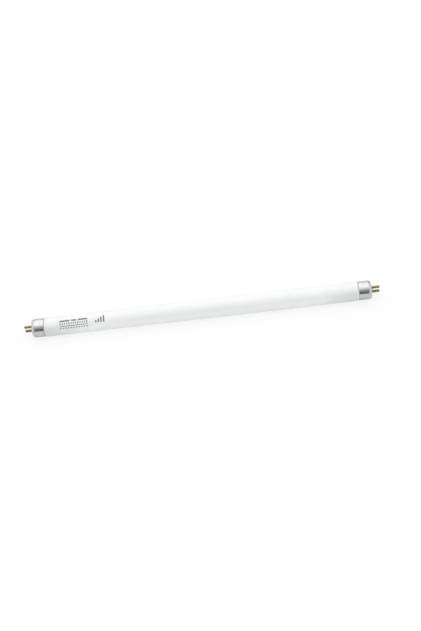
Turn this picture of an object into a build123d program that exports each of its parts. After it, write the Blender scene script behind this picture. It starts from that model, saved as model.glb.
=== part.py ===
"""Straight bi-pin fluorescent lamp: a coated glass tube with a cap and two pins at each end.

The tube lies along X with its middle at the origin, and the pins of each end stand one above
the other. The right end is modelled, and the left end is the same pieces turned half round.
All sizes are in millimetres.
"""

from build123d import *
import os

# Whole lamp
face_length = 288.0
tube_diameter = 16.4

# Drawn aluminium cap
cap_inset = 0.35
cap_wall = 0.3
cap_length = 10.6
lip_width = 0.45

# Contact pins
pin_diameter = 2.35
pin_spacing = 4.75
pin_length = 6.8
pin_tip_round = 0.8
pin_tip_wall = 0.6
pin_bore = 0.9
collar_step = 0.2
collar_thickness = 0.3
tail_step = 0.175
head_step = 0.6
head_thickness = 0.35
crimp_radius = 1.3
crimp_depth = 0.28
crimp_setback = 2.4

# Moulded insulator
boss_margin = 1.2
boss_recess = 0.1
insulator_depth = 3.2
rib_gap = 0.4
rib_stretch = 0.6
rib_height = 0.9
rib_round = 0.25

# Glass neck, stem funnel and sealed-off exhaust tip
neck_joint = 0.15
rim_round = 1.0
stem_gap = 1.0
funnel_depth = 9.0
funnel_margin = 0.6
exhaust_diameter = 2.0
exhaust_setback = 2.0

# Cement between the cap and the neck
cement_thickness = 0.35
cement_inset = 0.6

# Lead wires
wire_diameter = 0.5
wire_spacing = 3.2
wire_bend = 5.0
wire_run = 4.0
wire_entry = 1.6

# Clearances
fit_gap = 0.02
seat_gap = 0.05

# Radii that follow from the sizes above
tube_radius = tube_diameter / 2
cap_radius = tube_radius - cap_inset
cap_bore = cap_radius - cap_wall
neck_radius = cap_bore - cement_thickness
pin_radius = pin_diameter / 2
collar_radius = pin_radius + collar_step
tail_radius = pin_radius - tail_step
head_radius = tail_radius + head_step
wire_radius = wire_diameter / 2
boss_radius = pin_spacing / 2 + collar_radius + boss_margin
opening_radius = boss_radius + seat_gap
cap_round = cap_radius - opening_radius - lip_width
exhaust_radius = exhaust_diameter / 2
funnel_radius = wire_spacing / 2 + wire_radius + funnel_margin
flare_round = neck_radius - rim_round - funnel_radius

# Places along X at the right end
face_x = face_length / 2
skirt_x = face_x - cap_length
round_x = face_x - cap_round
boss_x = face_x - boss_recess
insulator_back_x = face_x - insulator_depth
head_x = insulator_back_x - head_thickness
glass_end_x = head_x - stem_gap
funnel_x = glass_end_x - funnel_depth
tip_x = face_x + pin_length


def turned(*outline):
    """Solid of revolution about X of a closed outline drawn with x along the lamp and y as radius."""
    return revolve(make_face(outline), Axis.X)


def glass_tube():
    """Sealed bulb: full-width body, stepped neck under each cap and a flared stem funnel."""
    step = (tube_radius - neck_radius) / 2
    foot_x = skirt_x - neck_joint
    mouth_x = glass_end_x - flare_round
    exhaust_x = glass_end_x - exhaust_setback - exhaust_radius
    rim_x = glass_end_x - rim_round
    body_x = foot_x - 2 * step
    right_end = [
        CenterArc((exhaust_x, 0), exhaust_radius, 0, 90),
        Line((exhaust_x, exhaust_radius), (funnel_x, exhaust_radius)),
        Line((funnel_x, exhaust_radius), (funnel_x, funnel_radius)),
        Line((funnel_x, funnel_radius), (mouth_x, funnel_radius)),
        CenterArc((mouth_x, funnel_radius + flare_round), flare_round, 270, 90),
        CenterArc((rim_x, neck_radius - rim_round), rim_round, 0, 90),
        Line((rim_x, neck_radius), (foot_x, neck_radius)),
        CenterArc((foot_x, neck_radius + step), step, 180, 90),
        CenterArc((body_x, tube_radius - step), step, 0, 90),
    ]
    left_end = [mirror(edge, Plane.YZ) for edge in right_end]
    body = Line((-body_x, tube_radius), (body_x, tube_radius))
    axis = Line((-exhaust_x - exhaust_radius, 0), (exhaust_x + exhaust_radius, 0))
    return turned(axis, *right_end, body, *left_end)


def end_cap():
    """Drawn shell: a straight skirt, a rounded shoulder and a flat end with a round opening."""
    round_radius = cap_radius - cap_round
    inner_x = face_x - cap_wall
    return turned(
        Line((skirt_x, cap_bore), (skirt_x, cap_radius)),
        Line((skirt_x, cap_radius), (round_x, cap_radius)),
        CenterArc((round_x, round_radius), cap_round, 0, 90),
        Line((face_x, round_radius), (face_x, opening_radius)),
        Line((face_x, opening_radius), (inner_x, opening_radius)),
        Line((inner_x, opening_radius), (inner_x, round_radius)),
        CenterArc((round_x, round_radius), cap_round - cap_wall, 0, 90),
        Line((round_x, cap_bore), (skirt_x, cap_bore)),
    )


def insulator():
    """Moulded disc seated behind the cap's lip, with a boss, a rib between the pins and their holes."""
    round_radius = cap_radius - cap_round
    edge_round = cap_round - cap_wall - seat_gap
    seat_x = face_x - cap_wall - seat_gap
    rim_radius = cap_bore - seat_gap
    disc = turned(
        Line((insulator_back_x, 0), (boss_x, 0)),
        Line((boss_x, 0), (boss_x, boss_radius)),
        Line((boss_x, boss_radius), (seat_x, boss_radius)),
        Line((seat_x, boss_radius), (seat_x, round_radius)),
        CenterArc((round_x, round_radius), edge_round, 0, 90),
        Line((round_x, rim_radius), (insulator_back_x, rim_radius)),
        Line((insulator_back_x, rim_radius), (insulator_back_x, 0)),
    )
    rib_width = pin_spacing - 2 * collar_radius - 2 * rib_gap
    rib_outline = SlotOverall(rib_width + rib_stretch, rib_width)
    boss_plane = Plane(origin=(boss_x, 0, 0), x_dir=(0, 1, 0), z_dir=(1, 0, 0))
    rib = extrude(boss_plane * rib_outline, boss_recess + rib_height)
    rib = fillet(rib.faces().sort_by(Axis.X)[-1].edges(), rib_round)
    depth = boss_x - insulator_back_x
    middle_x = (boss_x + insulator_back_x) / 2
    hole = Rot(0, 90, 0) * Cylinder(tail_radius + fit_gap, depth)
    return disc + rib - [Pos(middle_x, 0, side * pin_spacing / 2) * hole for side in (1, -1)]


def contact_pin():
    """Hollow pin on the X axis: domed tip, crimped shank, collar, tail and riveted head."""
    bore_radius = pin_bore / 2
    tip_hole = wire_radius + fit_gap
    dome_x = tip_x - pin_tip_round
    bore_end_x = tip_x - pin_tip_wall
    collar_x = boss_x + collar_thickness
    body = turned(
        Line((head_x, bore_radius), (head_x, head_radius)),
        Line((head_x, head_radius), (insulator_back_x, head_radius)),
        Line((insulator_back_x, head_radius), (insulator_back_x, tail_radius)),
        Line((insulator_back_x, tail_radius), (boss_x, tail_radius)),
        Line((boss_x, tail_radius), (boss_x, collar_radius)),
        Line((boss_x, collar_radius), (collar_x, collar_radius)),
        Line((collar_x, collar_radius), (collar_x, pin_radius)),
        Line((collar_x, pin_radius), (dome_x, pin_radius)),
        CenterArc((dome_x, pin_radius - pin_tip_round), pin_tip_round, 0, 90),
        Line((tip_x, pin_radius - pin_tip_round), (tip_x, tip_hole)),
        Line((tip_x, tip_hole), (bore_end_x, tip_hole)),
        Line((bore_end_x, tip_hole), (bore_end_x, bore_radius)),
        Line((bore_end_x, bore_radius), (head_x, bore_radius)),
    )
    crimp_x = tip_x - crimp_setback
    crimp_y = pin_radius - crimp_depth + crimp_radius
    punch = Cylinder(crimp_radius, pin_diameter)
    return body - [Pos(crimp_x, side * crimp_y, 0) * punch for side in (1, -1)]


def cement_ring():
    """Baked cement in the gap between the cap's skirt and the glass neck."""
    inner = neck_radius + fit_gap
    outer = cap_bore - fit_gap
    near_x = skirt_x + cement_inset
    far_x = glass_end_x - rim_round
    return turned(Polyline((near_x, inner), (far_x, inner), (far_x, outer), (near_x, outer), close=True))


def lead_wire(side):
    """Wire from the floor of the stem funnel, bent outwards and up the pin's bore to its tip."""
    start_z = side * wire_spacing / 2
    pin_z = side * pin_spacing / 2
    start = (funnel_x, 0, start_z)
    path = FilletPolyline(
        start,
        (funnel_x + wire_run, 0, start_z),
        (head_x - wire_entry, 0, pin_z),
        (tip_x, 0, pin_z),
        radius=wire_bend,
    )
    section = Plane(origin=start, x_dir=(0, 1, 0), z_dir=(1, 0, 0)) * Circle(wire_radius)
    return sweep(section, path)


def pieces_of_right_end():
    """Every piece of one end by name, apart from the glass that both ends share."""
    pieces = {"end_cap": end_cap(), "insulator": insulator(), "cement_ring": cement_ring()}
    for level, side in (("upper", 1), ("lower", -1)):
        pieces[level + "_pin"] = Pos(0, 0, side * pin_spacing / 2) * contact_pin()
        pieces[level + "_lead_wire"] = lead_wire(side)
    return pieces


lamp = {"glass_tube": glass_tube()}
for name, piece in pieces_of_right_end().items():
    lamp["right_" + name] = piece
    lamp["left_" + name] = Rot(0, 0, 180) * piece

os.makedirs("parts", exist_ok=True)
for name, piece in lamp.items():
    export_step(piece, f"parts/{name}.step")
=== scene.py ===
import math

import bpy
import numpy as np
from mathutils import Matrix, Vector


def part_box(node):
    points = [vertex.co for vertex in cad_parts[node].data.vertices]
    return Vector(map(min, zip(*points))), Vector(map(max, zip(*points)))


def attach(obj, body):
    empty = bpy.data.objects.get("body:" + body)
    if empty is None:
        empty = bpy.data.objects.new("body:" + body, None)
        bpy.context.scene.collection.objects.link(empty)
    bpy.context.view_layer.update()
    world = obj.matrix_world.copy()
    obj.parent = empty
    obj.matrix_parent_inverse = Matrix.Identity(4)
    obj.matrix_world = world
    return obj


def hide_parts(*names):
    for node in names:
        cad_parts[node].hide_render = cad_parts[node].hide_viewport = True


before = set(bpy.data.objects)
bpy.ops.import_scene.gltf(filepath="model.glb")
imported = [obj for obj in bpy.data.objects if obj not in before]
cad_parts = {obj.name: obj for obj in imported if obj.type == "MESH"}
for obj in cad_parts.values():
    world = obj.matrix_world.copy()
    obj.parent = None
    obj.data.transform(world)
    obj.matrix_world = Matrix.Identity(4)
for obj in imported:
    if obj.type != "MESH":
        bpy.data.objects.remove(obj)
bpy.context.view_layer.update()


# Glass bulb: a straight tube of clear glass, washed inside with white phosphor and sealed.
# Each end is necked down to go into its cap, so a rounded step shows in front of the skirt,
# and a stem funnel is pressed into the end behind it.

MM = 0.001
bulb_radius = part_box("glass_tube")[1].y
bulb_end_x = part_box("glass_tube")[1].x
skirt_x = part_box("right_end_cap")[0].x
face_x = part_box("right_end_cap")[1].x
cap_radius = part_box("right_end_cap")[1].y
funnel_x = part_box("right_upper_lead_wire")[0].x
cap_and_cement = 0.65 * MM
neck_joint = 0.15 * MM
stem_rim_round = 1.0 * MM
funnel_radius = 2.45 * MM
exhaust_radius = 1.0 * MM
exhaust_setback = 2.0 * MM
exhaust_pole_radius = 0.02 * exhaust_radius
neck_radius = cap_radius - cap_and_cement
neck_step = (bulb_radius - neck_radius) / 2
neck_foot_x = skirt_x - neck_joint
flare_round = neck_radius - stem_rim_round - funnel_radius
exhaust_end_x = bulb_end_x - exhaust_setback


def rounded_outline(corners, spacing, closed=False):
    """Points (x, r) along the straight runs between corners (x, r, round), with each corner an arc.

    An arc touches its two runs at round / tan(half the angle between them) from the corner. Runs are
    divided into steps no longer than the spacing, and arcs into steps of about eight degrees.
    """
    arc_step = math.radians(8)
    least_gap = 0.0001 * MM
    count = len(corners)
    places = np.array(corners)[:, :2]
    rounds = np.array(corners)[:, 2]
    arcs = []
    for i, (here, bend) in enumerate(zip(places, rounds)):
        if bend == 0 or (not closed and i in (0, count - 1)):
            arcs.append(here[None])
            continue
        back = places[i - 1] - here
        ahead = places[(i + 1) % count] - here
        back = back / np.linalg.norm(back)
        ahead = ahead / np.linalg.norm(ahead)
        half = math.acos(float(np.clip(back @ ahead, -1, 1))) / 2
        middle = (back + ahead) / np.linalg.norm(back + ahead)
        centre = here + middle * bend / math.sin(half)
        reach = math.pi / 2 - half
        steps = max(1, math.ceil(2 * reach / arc_step))
        turn = np.linspace(-reach, reach, steps + 1)[:, None]
        across = (ahead - back) / np.linalg.norm(ahead - back)
        arcs.append(centre + bend * (across * np.sin(turn) - middle * np.cos(turn)))
    points = []
    for i, arc in enumerate(arcs):
        points.append(arc)
        if i == count - 1 and not closed:
            break
        start = arc[-1]
        end = arcs[(i + 1) % count][0]
        steps = math.ceil(np.linalg.norm(end - start) / spacing)
        points.append(start + (end - start) * np.linspace(0, 1, steps + 1)[1:-1, None])
    points = np.concatenate(points)
    apart = np.linalg.norm(points - np.roll(points, 1, 0), axis=1) > least_gap
    return points[apart | (np.arange(len(points)) == 0)]


def turned(outline, segments):
    """Rings of a surface turned about X: (x, r) goes to (x, -r sin a, r cos a) at equal angles a."""
    angle = 2 * np.pi * np.arange(segments) / segments
    x = np.repeat(outline[:, :1], segments, axis=1)
    return np.stack([x, -outline[:, 1:] * np.sin(angle), outline[:, 1:] * np.cos(angle)], axis=-1)


def shell(rings, poles=None):
    """Points, four-cornered and three-cornered faces of a closed surface that joins ring to ring.

    It ends in a fan to each of two poles, or else its last ring is joined to the first.
    """
    count, segments = rings.shape[:2]
    points = rings.reshape(-1, 3)
    ring = np.arange(count if poles is None else count - 1)[:, None]
    here = np.arange(segments)
    beside = (here + 1) % segments
    first, second = ring * segments, (ring + 1) % count * segments
    quads = np.stack([first + here, first + beside, second + beside, second + here], axis=-1)
    quads = quads.reshape(-1, 4)
    fans = np.zeros((0, 3), dtype=int)
    if poles is not None:
        start, end = len(points), len(points) + 1
        last = (count - 1) * segments
        points = np.concatenate([points, np.array(poles)])
        start_fan = np.stack([np.full(segments, start), beside, here], axis=-1)
        end_fan = np.stack([np.full(segments, end), last + here, last + beside], axis=-1)
        fans = np.concatenate([start_fan, end_fan])
    return points, quads, fans


def skin(name, *shells):
    """Object of one or more closed shells, shaded smooth up to edges of forty degrees."""
    sharp_from = math.radians(40)
    points, faces, start = [], [], 0
    for shell_points, quads, fans in shells:
        points.append(shell_points)
        faces += (quads + start).tolist() + (fans + start).tolist()
        start += len(shell_points)
    mesh = bpy.data.meshes.new(name)
    mesh.from_pydata(np.concatenate(points).tolist(), [], faces)
    mesh.polygons.foreach_set("use_smooth", np.ones(len(faces), dtype=bool))
    mesh.set_sharp_from_angle(angle=sharp_from)
    piece = bpy.data.objects.new(name, mesh)
    bpy.context.scene.collection.objects.link(piece)
    return piece


bulb_right_half = [
    (neck_foot_x - neck_step, bulb_radius, neck_step),
    (neck_foot_x - neck_step, neck_radius, neck_step),
    (bulb_end_x, neck_radius, stem_rim_round),
    (bulb_end_x, funnel_radius, flare_round),
    (funnel_x, funnel_radius, 0),
    (funnel_x, exhaust_radius, 0),
    (exhaust_end_x, exhaust_radius, exhaust_radius - exhaust_pole_radius),
    (exhaust_end_x, exhaust_pole_radius, 0),
]
bulb_left_half = [(-x, r, bend) for x, r, bend in reversed(bulb_right_half)]
bulb_outline = rounded_outline(bulb_left_half + bulb_right_half, spacing=4 * MM)
bulb_poles = [(-exhaust_end_x, 0, 0), (exhaust_end_x, 0, 0)]
glass_bulb = skin("glass_bulb", shell(turned(bulb_outline, segments=144), bulb_poles))


def linear(hex_code):
    """Linear colour of an sRGB hex code."""
    srgb = [int(hex_code[i:i + 2], 16) / 255 for i in (1, 3, 5)]
    return [c / 12.92 if c <= 0.04045 else ((c + 0.055) / 1.055) ** 2.4 for c in srgb] + [1.0]


def add_node(tree, kind, inputs=None, **properties):
    """Adds a node with its properties; each input gets a value, or a link from another node's socket.

    A Mix node takes its share at input 0. Its two colours are inputs 6 and 7, and come out at output 2.
    """
    made = tree.nodes.new("ShaderNode" + kind)
    for name, value in properties.items():
        setattr(made, name, value)
    for key, value in (inputs or {}).items():
        if isinstance(value, bpy.types.NodeSocket):
            tree.links.new(value, made.inputs[key])
        else:
            made.inputs[key].default_value = value
    return made


def new_material(name):
    """Empty node material and its tree."""
    material = bpy.data.materials.new(name)
    material.use_nodes = True
    material.node_tree.nodes.clear()
    return material, material.node_tree


# Clear drawn glass over baked phosphor: a matt white ground under a sharp gloss. The wash is a little
# cloudy and stops in a wiped ring at the neck. It greys towards the ends, and that grey is painted
# heavier on the under side as painted shade, where less light falls.
phosphor_white = linear("#f1f2f1")
# Grey of the thin phosphor at the ends, also used for the painted shade on their under side.
grey_phosphor_and_shade = linear("#d9dbd6")
wiped_ring = linear("#eeeee8")
grey_end_length = 38 * MM
grey_share_on_top = 0.1
full_shade_height = 0.3 * bulb_radius
wiped_ring_x = neck_foot_x - 2 * neck_step
wipe_before = 0.5 * MM
wipe_after = 0.3 * MM
cloud_size = 9 * MM
cloud_thick_noise = 0.35
cloud_thin_noise = 0.65
cloud_share = 0.1
coated_glass, tree = new_material("phosphor_coated_glass")
place = add_node(tree, "TexCoord").outputs["Object"]
axes = add_node(tree, "SeparateXYZ", {0: place}).outputs
from_middle = add_node(tree, "Math", {0: axes["X"]}, operation="ABSOLUTE").outputs[0]
towards_end = add_node(
    tree, "MapRange",
    {"Value": from_middle, "From Min": skirt_x - grey_end_length, "From Max": skirt_x},
    interpolation_type="SMOOTHSTEP",
).outputs[0]
# Painted shade: the end grey is weighted to the under side, from a tenth of it on top to all of it below
# 0.3 of the radius.
painted_underside_shade = add_node(
    tree, "MapRange",
    {
        "Value": axes["Z"],
        "From Min": bulb_radius,
        "From Max": full_shade_height,
        "To Min": grey_share_on_top,
    },
).outputs[0]
end_grey_with_shade = add_node(tree, "Math", {0: towards_end, 1: painted_underside_shade}, operation="MULTIPLY").outputs[0]
clouds = add_node(tree, "TexNoise", {"Vector": place, "Scale": 1 / cloud_size, "Detail": 3.0}).outputs[0]
cloudiness = add_node(
    tree, "MapRange",
    {
        "Value": clouds,
        "From Min": cloud_thick_noise,
        "From Max": cloud_thin_noise,
        "To Min": -cloud_share,
        "To Max": cloud_share,
    },
).outputs[0]
# This carries the ends' own grey, its painted under-side shade and the random clouds together.
thinness = add_node(
    tree, "Math", {0: end_grey_with_shade, 1: cloudiness}, operation="ADD", use_clamp=True,
).outputs[0]
washed = add_node(
    tree, "Mix", {0: thinness, 6: phosphor_white, 7: grey_phosphor_and_shade}, data_type="RGBA",
).outputs[2]
wiped = add_node(
    tree, "MapRange",
    {
        "Value": from_middle,
        "From Min": wiped_ring_x - wipe_before,
        "From Max": wiped_ring_x + wipe_after,
    },
    interpolation_type="SMOOTHSTEP",
).outputs[0]
ground = add_node(tree, "Mix", {0: wiped, 6: washed, 7: wiped_ring}, data_type="RGBA").outputs[2]
shader = add_node(
    tree, "BsdfPrincipled",
    {
        "Base Color": ground,
        "Roughness": 0.65,
        "Specular IOR Level": 0.0,
        "Coat Weight": 1.0,
        "Coat Roughness": 0.03,
        "Coat IOR": 1.5,
    },
)
add_node(tree, "OutputMaterial", {"Surface": shader.outputs[0]})
glass_bulb.data.materials.append(coated_glass)
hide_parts("glass_tube")
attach(glass_bulb, "root")


# Printed marks: a plain stamp of bars, ticks and dots in grey ink, rolled on to the glass near the left
# end. Real ink is a few microns thick, and is drawn a little thicker here so that it stays whole.

# Each mark is its middle along the bulb in millimetres, its lean from the bulb's top towards the front
# in degrees, and its length and width in millimetres.
ink_height = 0.015 * MM
ink_foot = 0.02 * MM
bars = [(-115.0, 20.0, 8.6, 1.3), (-107.2, 20.0, 4.6, 1.3), (-99.6, 20.0, 8.0, 1.3)]
ticks = [(-118.9 + 1.9 * i, 36.0, 0.75, 1.5 if i % 4 else 2.3) for i in range(13)]
line = [(-107.45, 51.0, 23.7, 0.55)]
dots = [(-118.75 + 2.26 * i, 64.0, 1.05, 1.05) for i in range(11)]
rising = [(-88.4 + 2.2 * i, 43.0 - 4.2 * i, 1.2, 2.0 + 1.2 * i) for i in range(4)]


def ink_patch(middle_x, lean, length, width):
    """Shell of a thin patch on the bulb, with |x / half length|^12 + |arc / half width|^12 = share^12.

    Its rings spread from the middle over the ink and close again under its foot, just in the glass.
    """
    edge_points = 40
    squareness = 12
    shares_on_top = [0.25, 0.5, 0.75, 1.0]
    shares_under = [1.0, 0.5]
    turn = 2 * np.pi * (np.arange(edge_points) + 0.5) / edge_points
    sides = np.abs(np.cos(turn)) ** squareness + np.abs(np.sin(turn)) ** squareness
    spread = sides ** (-1 / squareness)
    share = np.array(shares_on_top + shares_under)[:, None]
    rise = [ink_height] * len(shares_on_top) + [-ink_foot] * len(shares_under)
    radius = bulb_radius + np.array(rise)[:, None]
    x = middle_x * MM + share * spread * np.cos(turn) * length * MM / 2
    arc = math.radians(lean) + share * spread * np.sin(turn) * width * MM / 2 / bulb_radius
    rings = np.stack([x, -radius * np.sin(arc), radius * np.cos(arc)], axis=-1)
    out = np.array([0, -math.sin(math.radians(lean)), math.cos(math.radians(lean))])
    middle = np.array([middle_x * MM, 0, 0])
    poles = [middle + (bulb_radius + ink_height) * out, middle + (bulb_radius - ink_foot) * out]
    return shell(rings, poles)


stamp = bars + ticks + line + dots + rising
printed_marks = skin("printed_marks", *[ink_patch(*mark) for mark in stamp])

# Rolled stamping ink: a dull grey that covers unevenly, so the white shows through it in specks.
ink_full = linear("#5d6062")
ink_thin = linear("#a3a6a6")
ink_speck = 0.4 * MM
ink_breaks_noise = 0.48
ink_thinnest_noise = 0.68
stamping_ink, tree = new_material("rolled_stamping_ink")
place = add_node(tree, "TexCoord").outputs["Object"]
specks = add_node(tree, "TexNoise", {"Vector": place, "Scale": 1 / ink_speck, "Detail": 3.0}).outputs[0]
thinness = add_node(
    tree, "MapRange", {"Value": specks, "From Min": ink_breaks_noise, "From Max": ink_thinnest_noise},
).outputs[0]
coverage = add_node(tree, "Mix", {0: thinness, 6: ink_full, 7: ink_thin}, data_type="RGBA").outputs[2]
shader = add_node(tree, "BsdfPrincipled", {"Base Color": coverage, "Roughness": 0.5})
add_node(tree, "OutputMaterial", {"Surface": shader.outputs[0]})
printed_marks.data.materials.append(stamping_ink)
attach(printed_marks, "root")


# End caps: thin aluminium drawn to a cup, with a straight skirt, a rounded shoulder and a lip round
# the opening. They are baked on with cement, and handling leaves the soft metal a little uneven.

cap_wall = 0.3 * MM
cap_bore = cap_radius - cap_wall
opening_radius = 5.0 * MM
shoulder_round = 2.4 * MM
cut_edge_round = 0.1 * MM
unevenness = 0.012 * MM
right_phase = 0.4
left_phase = 2.1


def uneven_cap(phase):
    """Rings of a drawn cup, its radius swelling by slow waves of (x, a), strongest at the skirt.

    The waves are sin(2a + p), sin(3a + x / 3 mm + 2p) and sin(5a - x / 2 mm + 3p), for phase p.
    """
    outline = rounded_outline(
        [
            (skirt_x, cap_radius, cut_edge_round),
            (face_x, cap_radius, shoulder_round),
            (face_x, opening_radius, cut_edge_round),
            (face_x - cap_wall, opening_radius, cut_edge_round),
            (face_x - cap_wall, cap_bore, shoulder_round - cap_wall),
            (skirt_x, cap_bore, cut_edge_round),
        ],
        spacing=0.6 * MM,
        closed=True,
    )
    rings = turned(outline, segments=144)
    x, y, z = np.moveaxis(rings, -1, 0)
    angle = np.arctan2(-y, z)
    waves = np.sin(2 * angle + phase)
    waves += np.sin(3 * angle + x / (3 * MM) + 2 * phase)
    waves += np.sin(5 * angle - x / (2 * MM) + 3 * phase)
    radius = np.hypot(y, z)
    swell = 1 + unevenness * waves * (radius / cap_radius) ** 2 / radius
    return np.stack([x, y * swell, z * swell], axis=-1)


half_turn = np.array([-1, -1, 1])
right_cap = skin("right_cap_shell", shell(uneven_cap(right_phase)))
left_cap = skin("left_cap_shell", shell(uneven_cap(left_phase) * half_turn))

# Satin drawn aluminium: a broad soft reflection, streaked round the skirt by the drawing punch
# and clouded by handling. Streaks are drawn coarser than the real scratches so that they show.
aluminium_bright = linear("#cccccb")
aluminium_dull = linear("#c1c0be")
streak_width = 0.35 * MM
streak_length = 14 * MM
smudge_size = 3.5 * MM
streak_depth = 0.02 * MM
bright_wear = 0.15
dull_wear = 0.38
bright_roughness = 0.2
dull_roughness = 0.28
cap_aluminium, tree = new_material("satin_drawn_aluminium")
place = add_node(tree, "TexCoord").outputs["Object"]
stretch = (1 / streak_width, 1 / streak_length, 1 / streak_length)
streak_place = add_node(tree, "Mapping", {"Vector": place, "Scale": stretch}).outputs[0]
streaks = add_node(
    tree, "TexNoise", {"Vector": streak_place, "Scale": 1.0, "Detail": 4.0, "Roughness": 0.6},
).outputs[0]
smudges = add_node(
    tree, "TexNoise", {"Vector": place, "Scale": 1 / smudge_size, "Detail": 5.0, "Roughness": 0.6},
).outputs[0]
wear = add_node(tree, "Math", {0: streaks, 1: smudges}, operation="MULTIPLY").outputs[0]
dullness = add_node(
    tree, "MapRange", {"Value": wear, "From Min": bright_wear, "From Max": dull_wear},
).outputs[0]
metal = add_node(
    tree, "Mix", {0: dullness, 6: aluminium_bright, 7: aluminium_dull}, data_type="RGBA",
).outputs[2]
satin = add_node(
    tree, "MapRange", {"Value": dullness, "To Min": bright_roughness, "To Max": dull_roughness},
).outputs[0]
relief = add_node(
    tree, "Bump", {"Height": streaks, "Strength": 0.12, "Distance": streak_depth},
).outputs[0]
shader = add_node(
    tree, "BsdfPrincipled",
    {"Base Color": metal, "Metallic": 1.0, "Roughness": satin, "Normal": relief},
)
add_node(tree, "OutputMaterial", {"Surface": shader.outputs[0]})
for side, cap in (("right", right_cap), ("left", left_cap)):
    cap.data.materials.append(cap_aluminium)
    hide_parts(side + "_end_cap")
    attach(cap, "root")


# Insulators: brown-black phenolic discs moulded with a boss and a rib, which close each cap and
# carry the pins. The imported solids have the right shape, so they only get their material here.

# Phenolic moulding: a dull, nearly black brown with paler specks of wood-flour filler.
phenolic_brown = linear("#2b211b")
filler_speck = linear("#4a3a2e")
speck_size = 0.25 * MM
speck_edge_noise = 0.55
speck_full_noise = 0.7
grain_depth = 0.02 * MM
phenolic, tree = new_material("moulded_phenolic")
place = add_node(tree, "TexCoord").outputs["Object"]
grain = add_node(tree, "TexNoise", {"Vector": place, "Scale": 1 / speck_size, "Detail": 2.0}).outputs[0]
specks = add_node(
    tree, "MapRange", {"Value": grain, "From Min": speck_edge_noise, "From Max": speck_full_noise},
).outputs[0]
moulding = add_node(
    tree, "Mix", {0: specks, 6: phenolic_brown, 7: filler_speck}, data_type="RGBA",
).outputs[2]
relief = add_node(
    tree, "Bump", {"Height": grain, "Strength": 0.2, "Distance": grain_depth},
).outputs[0]
shader = add_node(
    tree, "BsdfPrincipled", {"Base Color": moulding, "Roughness": 0.42, "Normal": relief},
)
add_node(tree, "OutputMaterial", {"Surface": shader.outputs[0]})
for side in ("right", "left"):
    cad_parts[side + "_insulator"].material_slots[0].material = phenolic


# Contact pins: four hollow brass pins, riveted through the insulators by their heads. Each has a
# collar on the boss, a domed tip and a crimp pressed in from both sides to hold its lead wire.

pin_low, pin_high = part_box("right_upper_pin")
pin_z = (pin_low.z + pin_high.z) / 2
pin_tip_x = pin_high.x
pin_head_x = pin_low.x
pin_radius = 1.175 * MM
collar_step = 0.2 * MM
collar_thickness = 0.3 * MM
tail_step = 0.175 * MM
head_step = 0.6 * MM
bore_radius = 0.45 * MM
tip_hole_radius = 0.27 * MM
tip_wall = 0.6 * MM
tip_round = 0.8 * MM
insulator_depth = 3.2 * MM
boss_recess = 0.1 * MM
turned_edge_round = 0.06 * MM
crimp_setback = 2.4 * MM
crimp_depth = 0.28 * MM
crimp_radius = 1.3 * MM
plain_foot_length = 1.0 * MM
collar_radius = pin_radius + collar_step
tail_radius = pin_radius - tail_step
head_radius = tail_radius + head_step
head_back_x = face_x - insulator_depth
boss_x = face_x - boss_recess
collar_x = boss_x + collar_thickness
crimp_x = pin_tip_x - crimp_setback


def crimped_pin(height):
    """Rings of a hollow pin along X at a height, flattened on its two sides where the crimp punch bit.

    The punch is a cylinder of radius R standing on Z. It bites d deep into the pin of radius r, so that
    r - d + R - sqrt(R^2 - dx^2) is left on each side of the axis, at dx along X from the deepest point.
    """
    outline = rounded_outline(
        [
            (pin_head_x, head_radius, turned_edge_round),
            (head_back_x, head_radius, turned_edge_round),
            (head_back_x, tail_radius, turned_edge_round),
            (boss_x, tail_radius, turned_edge_round),
            (boss_x, collar_radius, turned_edge_round),
            (collar_x, collar_radius, turned_edge_round),
            (collar_x, pin_radius, turned_edge_round),
            (pin_tip_x, pin_radius, tip_round),
            (pin_tip_x, tip_hole_radius, turned_edge_round),
            (pin_tip_x - tip_wall, tip_hole_radius, 0),
            (pin_tip_x - tip_wall, bore_radius, 0),
            (pin_head_x, bore_radius, turned_edge_round),
        ],
        spacing=0.15 * MM,
        closed=True,
    )
    rings = turned(outline, segments=64)
    x, y, z = np.moveaxis(rings, -1, 0)
    reach = np.minimum(np.abs(x - crimp_x), crimp_radius)
    width = pin_radius - crimp_depth + crimp_radius - np.sqrt(crimp_radius ** 2 - reach ** 2)
    uncut_width = max(collar_radius, head_radius)
    width = np.where(x > collar_x + plain_foot_length, width, uncut_width)
    return np.stack([x, np.clip(y, -width, width), z + height], axis=-1)


# Turned brass: pale and glossy, with faint lengthwise rubs where it is duller and browner, from being
# pushed into holders. Real rubs are finer than these.
brass_bright = linear("#a59a74")
brass_dull = linear("#756a4a")
rub_length = 2.5 * MM
rub_width = 0.35 * MM
bright_noise = 0.4
rubbed_noise = 0.65
bright_roughness = 0.07
rubbed_roughness = 0.16
pin_brass, tree = new_material("rubbed_turned_brass")
place = add_node(tree, "TexCoord").outputs["Object"]
stretch = (1 / rub_length, 1 / rub_width, 1 / rub_width)
rub_place = add_node(tree, "Mapping", {"Vector": place, "Scale": stretch}).outputs[0]
rubs = add_node(tree, "TexNoise", {"Vector": rub_place, "Scale": 1.0, "Detail": 3.0}).outputs[0]
dullness = add_node(
    tree, "MapRange", {"Value": rubs, "From Min": bright_noise, "From Max": rubbed_noise},
).outputs[0]
metal = add_node(
    tree, "Mix", {0: dullness, 6: brass_bright, 7: brass_dull}, data_type="RGBA",
).outputs[2]
satin = add_node(
    tree, "MapRange", {"Value": dullness, "To Min": bright_roughness, "To Max": rubbed_roughness},
).outputs[0]
shader = add_node(
    tree, "BsdfPrincipled", {"Base Color": metal, "Metallic": 1.0, "Roughness": satin},
)
add_node(tree, "OutputMaterial", {"Surface": shader.outputs[0]})
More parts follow.
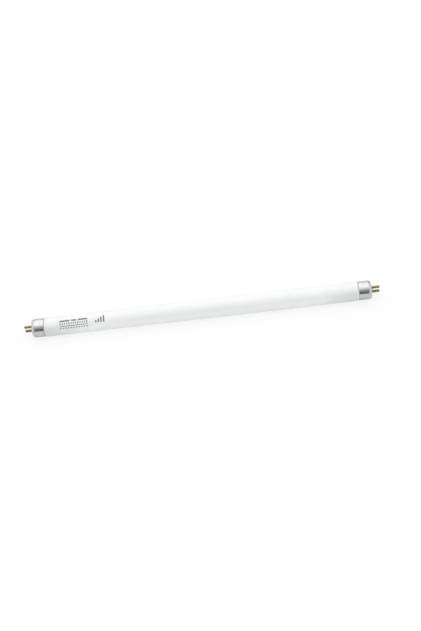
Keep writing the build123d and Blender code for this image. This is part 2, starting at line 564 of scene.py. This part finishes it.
for side, turn in (("right", np.ones(3)), ("left", half_turn)):
    for level, height in (("upper", pin_z), ("lower", -pin_z)):
        pin = skin(f"{side}_{level}_contact_pin", shell(crimped_pin(height) * turn))
        pin.data.materials.append(pin_brass)
        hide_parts(f"{side}_{level}_pin")
        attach(pin, "root")


# Cement rings and lead wires: baked cement fills the gap between neck and skirt, and a wire runs from
# the stem up each pin to its tip. Both are nearly hidden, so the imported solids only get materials.

# Baked base cement: a matt, sandy brown with dark grains.
cement_sand = linear("#a08a68")
cement_grain = linear("#6e5b41")
grain_size = 0.3 * MM
baked_cement, tree = new_material("baked_base_cement")
place = add_node(tree, "TexCoord").outputs["Object"]
grains = add_node(tree, "TexNoise", {"Vector": place, "Scale": 1 / grain_size, "Detail": 3.0}).outputs[0]
sandy = add_node(
    tree, "Mix", {0: grains, 6: cement_sand, 7: cement_grain}, data_type="RGBA",
).outputs[2]
shader = add_node(tree, "BsdfPrincipled", {"Base Color": sandy, "Roughness": 0.9})
add_node(tree, "OutputMaterial", {"Surface": shader.outputs[0]})

# Nickel-iron lead wire: grey, lightly drawn, with a soft metallic gloss.
wire_bright = linear("#b9b5ad")
wire_dull = linear("#8d8881")
draw_mark = 0.15 * MM
lead_wire, tree = new_material("drawn_nickel_iron_wire")
place = add_node(tree, "TexCoord").outputs["Object"]
marks = add_node(tree, "TexNoise", {"Vector": place, "Scale": 1 / draw_mark, "Detail": 2.0}).outputs[0]
metal = add_node(
    tree, "Mix", {0: marks, 6: wire_bright, 7: wire_dull}, data_type="RGBA",
).outputs[2]
shader = add_node(tree, "BsdfPrincipled", {"Base Color": metal, "Metallic": 1.0, "Roughness": 0.35})
add_node(tree, "OutputMaterial", {"Surface": shader.outputs[0]})
for side in ("right", "left"):
    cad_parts[side + "_cement_ring"].material_slots[0].material = baked_cement
    for level in ("upper", "lower"):
        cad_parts[f"{side}_{level}_lead_wire"].material_slots[0].material = lead_wire


# Table: a sheet of matt white card that the lamp lies on, so wide that it reaches the horizon. Most of
# what the camera sees of it is plain white, and the rest is lit, so that it keeps a faint shadow. The
# metal and the glass mirror more of the lit card.

card_white = linear("#f8f8f8")
seen_white_share = 0.8
mirrored_white_share = 0.2
card_half_width = 20.0
table_z = -bulb_radius
mesh = bpy.data.meshes.new("white_card")
corners = np.array([(-1, -1), (1, -1), (1, 1), (-1, 1)]) * card_half_width
mesh.from_pydata(np.column_stack([corners, np.full(4, table_z)]).tolist(), [], [(0, 1, 2, 3)])
white_card = bpy.data.objects.new("white_card", mesh)
bpy.context.scene.collection.objects.link(white_card)
matt_card, tree = new_material("matt_white_card")
shader = add_node(
    tree, "BsdfPrincipled", {"Base Color": card_white, "Roughness": 1.0, "Specular IOR Level": 0.0},
)
white = add_node(tree, "Emission", {"Color": (1.0, 1.0, 1.0, 1.0), "Strength": 1.0})
ray = add_node(tree, "LightPath").outputs
mirrored = add_node(
    tree, "Math", {0: ray["Is Glossy Ray"], 1: ray["Is Transmission Ray"]}, operation="MAXIMUM",
).outputs[0]
mirrored_share = add_node(
    tree, "Math", {0: mirrored, 1: mirrored_white_share}, operation="MULTIPLY",
).outputs[0]
share = add_node(
    tree, "Math", {0: ray["Is Camera Ray"], 1: seen_white_share, 2: mirrored_share},
    operation="MULTIPLY_ADD",
).outputs[0]
card = add_node(tree, "MixShader", {0: share, 1: shader.outputs[0], 2: white.outputs[0]})
add_node(tree, "OutputMaterial", {"Surface": card.outputs[0]})
mesh.materials.append(matt_card)


# Light: a soft strip lamp overhead that dims towards the horizon behind, in a white tent with brighter
# back corners. Straight in front, the light fades from overhead through a grey dusk to the dim room.
# Leans are angles from straight up towards the front, and the other edges are shares of a direction.

lamp_level = 1.74
lamp_share_at_horizon = 0.46
tent_level = 1.07
back_wall_level = 0.06
back_corner_gain = 1.22
front_dusk = (0.43, 0.495, 0.56, 1.0)
front_room = (0.01, 0.01, 0.01, 1.0)
strip_middle = -0.05
strip_half_width = 0.2
strip_soft_edge = 0.33
corner_starts = 0.3
corner_full = 0.6
wall_starts = 0.05
wall_full = 0.55
lamp_dims_lean = math.radians(-45)
lamp_dimmest_lean = math.radians(-85)
dusk_starts_lean = math.radians(-8)
dusk_full_lean = math.radians(50)
room_starts_lean = math.radians(35)
room_full_lean = math.radians(75)
world = bpy.data.worlds.new("soft_studio")
bpy.context.scene.world = world
world.use_nodes = True
tree = world.node_tree
tree.nodes.clear()
direction = add_node(tree, "SeparateXYZ", {0: add_node(tree, "TexCoord").outputs["Generated"]}).outputs
forward = add_node(tree, "Math", {0: direction["Y"], 1: -1.0}, operation="MULTIPLY").outputs[0]
lean = add_node(tree, "Math", {0: forward, 1: direction["Z"]}, operation="ARCTAN2").outputs[0]
sideways = add_node(tree, "Math", {0: direction["X"]}, operation="ABSOLUTE").outputs[0]
to_side = add_node(
    tree, "MapRange", {"Value": sideways, "From Min": corner_starts, "From Max": corner_full},
    interpolation_type="SMOOTHSTEP",
).outputs[0]
back_wall = add_node(
    tree, "Math", {0: to_side, 1: back_corner_gain, 2: back_wall_level}, operation="MULTIPLY_ADD",
).outputs[0]
aside = add_node(tree, "Math", {0: direction["X"], 1: strip_middle}, operation="SUBTRACT").outputs[0]
off_strip = add_node(tree, "Math", {0: aside}, operation="ABSOLUTE").outputs[0]
in_strip = add_node(
    tree, "MapRange", {"Value": off_strip, "From Min": strip_soft_edge, "From Max": strip_half_width},
    interpolation_type="SMOOTHSTEP",
).outputs[0]
to_horizon = add_node(
    tree, "MapRange",
    {
        "Value": lean,
        "From Min": lamp_dims_lean,
        "From Max": lamp_dimmest_lean,
        "To Min": lamp_level,
        "To Max": lamp_level * lamp_share_at_horizon,
    },
    interpolation_type="SMOOTHSTEP",
).outputs[0]
to_wall = add_node(
    tree, "MapRange", {"Value": direction["Y"], "From Min": wall_starts, "From Max": wall_full},
    interpolation_type="SMOOTHSTEP",
).outputs[0]
sides = add_node(tree, "Mix", {0: to_wall, 2: tent_level, 3: back_wall}, data_type="FLOAT").outputs[0]
to_dusk = add_node(
    tree, "MapRange", {"Value": lean, "From Min": dusk_starts_lean, "From Max": dusk_full_lean},
    interpolation_type="SMOOTHSTEP",
).outputs[0]
to_room = add_node(
    tree, "MapRange", {"Value": lean, "From Min": room_starts_lean, "From Max": room_full_lean},
    interpolation_type="SMOOTHSTEP",
).outputs[0]
dusk = add_node(tree, "Mix", {0: to_dusk, 6: to_horizon, 7: front_dusk}, data_type="RGBA").outputs[2]
strip = add_node(tree, "Mix", {0: to_room, 6: dusk, 7: front_room}, data_type="RGBA").outputs[2]
glow = add_node(tree, "Mix", {0: in_strip, 6: sides, 7: strip}, data_type="RGBA").outputs[2]
background = add_node(tree, "Background", {"Color": glow, "Strength": 1.0})
add_node(tree, "OutputWorld", {"Surface": background.outputs[0]})


# Camera: a normal lens on a stand about a metre in front of the lamp, looking down at about 47 degrees.
# It is rolled a little, so that the lamp lies across the picture and rises to the right.

camera_lens = 67.0
camera_distance = 990.5 * MM
camera_turn = math.radians(4.44)
camera_rise = math.radians(47.2)
camera_roll = math.radians(-9.84)
aim_right = 8.22 * MM
aim_up = -5.39 * MM
back = Vector((
    math.sin(camera_turn) * math.cos(camera_rise),
    -math.cos(camera_turn) * math.cos(camera_rise),
    math.sin(camera_rise),
))
level_right = Vector((0, 0, 1)).cross(back).normalized()
level_up = back.cross(level_right)
right = math.cos(camera_roll) * level_right + math.sin(camera_roll) * level_up
up = back.cross(right)
eye = aim_right * right + aim_up * up + camera_distance * back
camera_data = bpy.data.cameras.new("camera")
camera_data.lens = camera_lens
camera = bpy.data.objects.new("camera", camera_data)
bpy.context.scene.collection.objects.link(camera)
camera.matrix_world = Matrix.Translation(eye) @ Matrix((right, up, back)).transposed().to_4x4()
bpy.context.scene.camera = camera
bpy.context.scene.view_settings.view_transform = "Standard"
